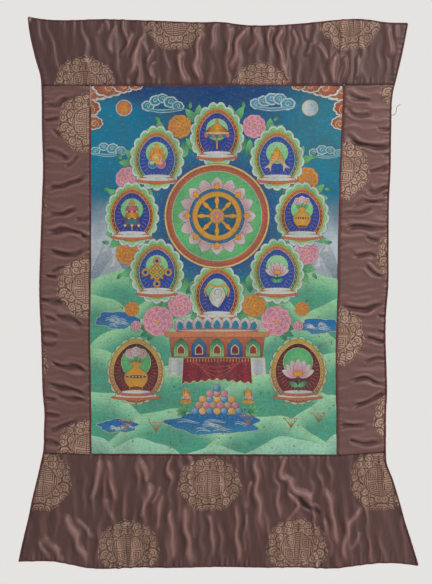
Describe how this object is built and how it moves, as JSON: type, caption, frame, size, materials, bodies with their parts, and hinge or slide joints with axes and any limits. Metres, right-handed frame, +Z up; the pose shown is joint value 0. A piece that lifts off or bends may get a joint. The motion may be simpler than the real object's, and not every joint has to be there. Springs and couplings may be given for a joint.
{
  "type": "thangka scroll painting",
  "caption": "Painted cloth panel framed by gathered satin brocade with woven roundels, flared above and below, piped, bound and hung by its top edge.",
  "frame": {"origin": "middle of the top edge, halfway through the cloth", "axes": "+Z up along the hanging, +X to the right as seen from the front, the painted front faces -Y"},
  "size_m": [0.7996, 0.0156, 1.1032],
  "materials": {
    "satin_brocade": "dark brown satin with gold-tan woven roundels, softly gathered",
    "painted_canvas": "matt paint in blue, turquoise and green on a primed canvas",
    "piping_cloth": "maroon cloth piping between the canvas and the brocade",
    "binding_cloth": "dark red cloth binding round the outline",
    "thread": "dark red sewing thread"
  },
  "bodies": {
    "root": {"painting": "painted_canvas", "top_panel": "satin_brocade", "bottom_panel": "satin_brocade", "left_strip": "satin_brocade", "right_strip": "satin_brocade", "piping_top": "piping_cloth", "piping_bottom": "piping_cloth", "piping_left": "piping_cloth", "piping_right": "piping_cloth", "binding_top": "binding_cloth", "binding_bottom": "binding_cloth", "binding_left": "binding_cloth", "binding_right": "binding_cloth", "loose_thread": "thread"}
  },
  "joints": []
}
